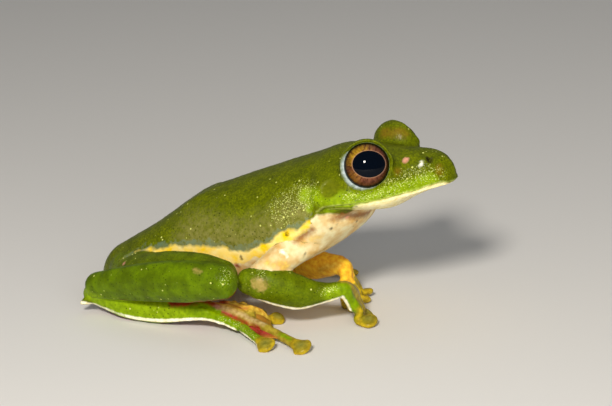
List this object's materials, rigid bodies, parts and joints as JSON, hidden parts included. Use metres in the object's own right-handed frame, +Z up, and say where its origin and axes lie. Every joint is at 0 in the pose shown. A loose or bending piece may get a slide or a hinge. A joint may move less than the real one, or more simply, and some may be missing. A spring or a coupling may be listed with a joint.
{
  "type": "malabar gliding frog",
  "caption": "Green tree frog at rest on the floor, limbs folded, head raised, with large round eyes, webbed feet and round toe discs.",
  "frame": {"origin": "centre of the frog's box on the floor it rests on", "axes": "+X the way the frog faces, +Y its left, +Z up"},
  "size_m": [0.0702, 0.0492, 0.0351],
  "materials": {
    "green_skin": "moist, finely granular leaf-green skin with pale dots",
    "cream_skin": "moist cream skin with dark specks",
    "web_skin": "thin moist web and toe skin, olive-yellow to red",
    "eye": "wet, mirror-smooth eye, coppery with a black pupil"
  },
  "bodies": {
    "root": {"eye_left": "eye", "eye_right": "eye", "finger_1_left": "web_skin", "finger_1_right": "web_skin", "finger_2_left": "web_skin", "finger_2_right": "web_skin", "finger_3_left": "web_skin", "finger_3_right": "web_skin", "finger_4_left": "web_skin", "finger_4_right": "web_skin", "forearm_left": "green_skin", "forearm_right": "green_skin", "head": "green_skin", "lower_jaw": "cream_skin", "palm_left": "green_skin", "palm_right": "green_skin", "shank_left": "green_skin", "shank_right": "green_skin", "sole_left": "web_skin", "sole_right": "web_skin", "tarsus_left": "green_skin", "tarsus_right": "green_skin", "thigh_left": "green_skin", "thigh_right": "green_skin", "toe_1_left": "web_skin", "toe_1_right": "web_skin", "toe_2_left": "web_skin", "toe_2_right": "web_skin", "toe_3_left": "web_skin", "toe_3_right": "web_skin", "toe_4_left": "web_skin", "toe_4_right": "web_skin", "toe_5_left": "web_skin", "toe_5_right": "web_skin", "torso": "green_skin", "tympanum_left": "green_skin", "tympanum_right": "green_skin", "upper_arm_left": "cream_skin", "upper_arm_right": "cream_skin"}
  },
  "joints": []
}
